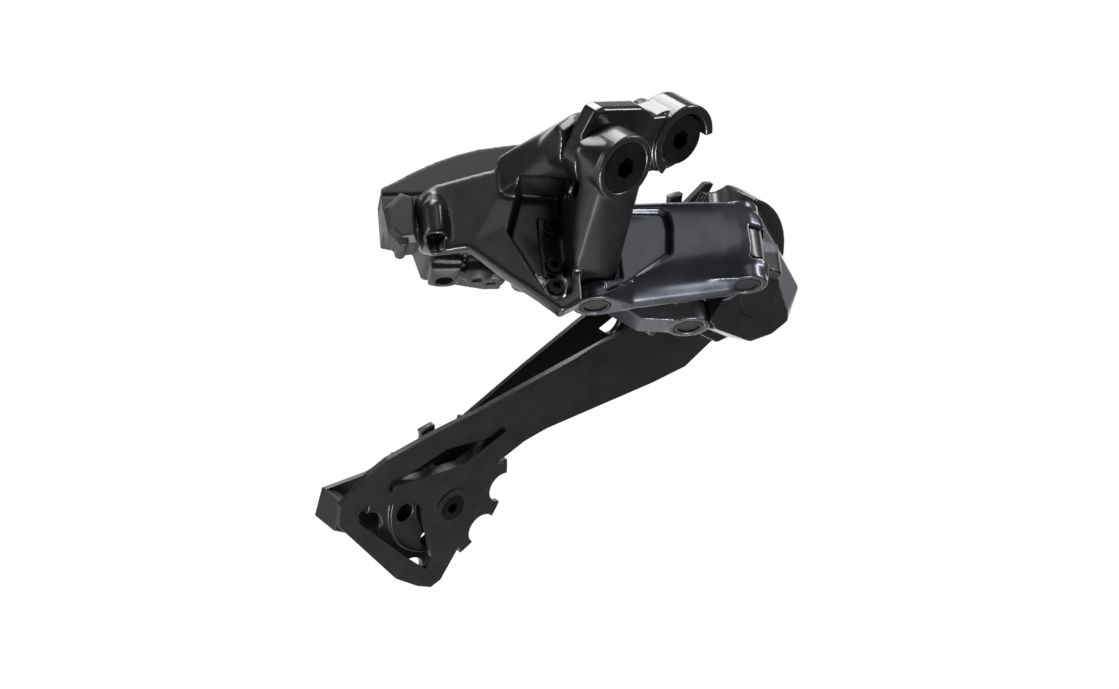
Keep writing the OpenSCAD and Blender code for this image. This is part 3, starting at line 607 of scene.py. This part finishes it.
def make_knuckle():
    outer = [(29, -24.5), (44, -26), (57.6, -25.8), (60, -28.4), (56.8, -33.4), (50, -38), (29, -39.5)]
    middle = [(29, -6), (49.5, -13.4), (64.2, -18.7), (65, -26.8), (61.8, -33.4), (54.8, -38.6),
              (47, -40.2), (29, -41)]
    inner = [(29, -6.6), (40, -4.2), (49, -6.6), (61.3, -13.5), (63.6, -25), (60.6, -36), (54, -41),
             (29, -42)]
    wing = wrap([in_row(x, -25, z) for x, z in outer], [in_row(x, -19.3, z) for x, z in middle])
    drum = wrap([in_row(x, -19.3, z) for x, z in middle], [in_row(x, -7, z) for x, z in inner])
    barrel = disc(*P_AXLE, -12, -1.5, 22.2)
    solid = join("knuckle_wing", [wing, drum, barrel])
    carve(solid, [
        cheek([(-5, -80), (29.6, -80), (29.6, 20), (-5, 20)], -60, 10),
        cheek([(-5, -80), (95, -80), (95, -43.6), (-5, -43.6)], -60, 10),
        post(LINK, 0, -60, 0, 8.4), post(INNER[0] + LINK, INNER[1], -61, -25.7, 6.7),
        disc(*P_AXLE, -40, 5, 5.02), disc(*P_AXLE, -19, -4, 6.5), disc(*P_AXLE, -40, -24.6, 7.1),
    ])
    solids = [
        take(solid),
        post(LINK, 0, -33.1, -24.3, 6),
        wrap(post(LINK + 3.6, -3, -33.1, -24.3, 3), post(LINK + 9, -7, -33.1, -24.3, 3.4)),
        post(INNER[0] + LINK, INNER[1], -38.2, -30.5, 6),
        wrap(post(INNER[0] + LINK + 3, INNER[1] - 2, -38.2, -30.5, 3),
             post(INNER[0] + LINK + 8, INNER[1] - 6, -38.2, -30.5, 3.4)),
        cheek([(30.5, -41), (36.4, -42.9), (33.5, -49.2), (30, -47.8)], -5, -1.5),
    ]
    cutters = [
        post(LINK, 0, -60, 0, 3.02), post(INNER[0] + LINK, INNER[1], -60, -30, 3.02),
        disc(*P_AXLE, -40, 5, 5.02),
    ]
    obj = cast("knuckle_casting", solids, cutters, 0.42, 3)
    dress(obj, "knuckle", cast_paint, "casting", "knuckle")
    # Faces of the wing turned upward get the paler paint: painted light on the tops
    paint_where(obj, painted_highlight_paint, lambda c, n: -25.2 < c.y < -18.9 and n.z > 0.35 and c.x > 31)


def make_inner_link():
    web = [(2, -30), (12, -32), (28, -43), (LINK, -44), (LINK, -38.5), (34.5, -38), (34.5, -30.4),
           (LINK, -30.2), (LINK, -26), (34, -26), (18, -18), (10, -14), (2, -14), (2, -18.1), (7.5, -18.4),
           (7.5, -25.2), (2, -25.5)]
    s0, n0 = INNER
    rear, front = (s0, n0), (s0 + LINK, n0)
    solids = [
        post(*rear, -30, -25.5, 6), post(*rear, -18.1, -14, 6), post(*front, -44, -38.5, 6),
        post(*front, -30.2, -26, 6),
        panel([(s + s0, z) for s, z in web], n0 - 4, n0 + 4.5),
    ]
    cutters = [
        post(*rear, -60, 0, 3.02), post(*front, -60, 0, 4.02), post(*rear, -25.5, -18.1, 6.4),
        post(*front, -38.5, -30.2, 6.4),
    ]
    obj = cast("inner_link_forging", solids, cutters, 0.38, 4)
    dress(obj, "inner_link", link_paint, "satin_link", "inner_link")
    # Faces turned outboard get the paler paint: a painted highlight on the side facing the lamps
    paint_where(obj, painted_highlight_paint, lambda c, n: n.dot(OUTBOARD) > 0.75)


# ---- studio ---------------------------------------------------------------

def make_studio():
    half = FLOOR_HALF_WIDTH
    corners = [(-half, -half), (half, -half), (half, half), (-half, half)]
    floor = join("floor", [loft([[Vector((x, y, z)) for x, y in corners]
                                 for z in (FLOOR_TOP - 0.02, FLOOR_TOP)])])
    floor.data.materials.append(finish("floor_paint", "#f2f2f2", "#f6f6f6", 0.0, (0.6, 0.7), 3.0, 0.01))
    world = bpy.data.worlds.new("studio")
    bpy.context.scene.world = world
    world.use_nodes = True
    tree = world.node_tree
    sky = tree.nodes["Background"]
    sky.inputs["Color"].default_value = (1, 1, 1, 1)
    # The backdrop is white to look at, and lights the object only dimly
    ray = add(tree, "ShaderNodeLightPath")
    level = add(tree, "ShaderNodeMapRange", {"To Min": 0.13, "To Max": 1.0},
                {"Value": ray.outputs["Is Camera Ray"]})
    tree.links.new(level.outputs["Result"], sky.inputs["Strength"])
    bpy.context.scene.view_settings.view_transform = "Standard"
    centre = Vector((0.0, -0.01, -0.06))
    right, up, back = (Vector(bpy.context.scene.camera.matrix_world.col[i][:3]) for i in range(3))
    # Name, place from the object to the right, up and back, width, height, watts
    for name, place, size, watts in (
        ("top_box", (-0.1, 0.8, -0.05), (0.9, 0.3), 9),
        ("key_box", (0.3, 0.65, 0.55), (0.3, 0.45), 0.8),
        ("low_box", (0.25, -0.72, 0.4), (0.3, 0.2), 11),
        ("left_strip", (-0.85, 0.1, 0.3), (0.12, 0.8), 4),
        ("right_strip", (0.85, 0.4, 0.1), (0.16, 0.7), 9),
        ("back_box", (0.0, 0.1, -0.9), (1.5, 1.1), 8),
    ):
        data = bpy.data.lights.new(name, "AREA")
        data.shape = "RECTANGLE"
        data.size, data.size_y = size
        data.energy = watts
        lamp = bpy.data.objects.new(name, data)
        lamp.location = centre + right * place[0] + up * place[1] + back * place[2]
        lamp.rotation_euler = (centre - lamp.location).to_track_quat("-Z", "Y").to_euler()
        bpy.context.collection.objects.link(lamp)


keep_cad_parts()
make_outer_link()
make_base()
make_lid()
make_case()
make_port_cover()
make_hanger_link()
make_knuckle()
make_inner_link()
make_studio()
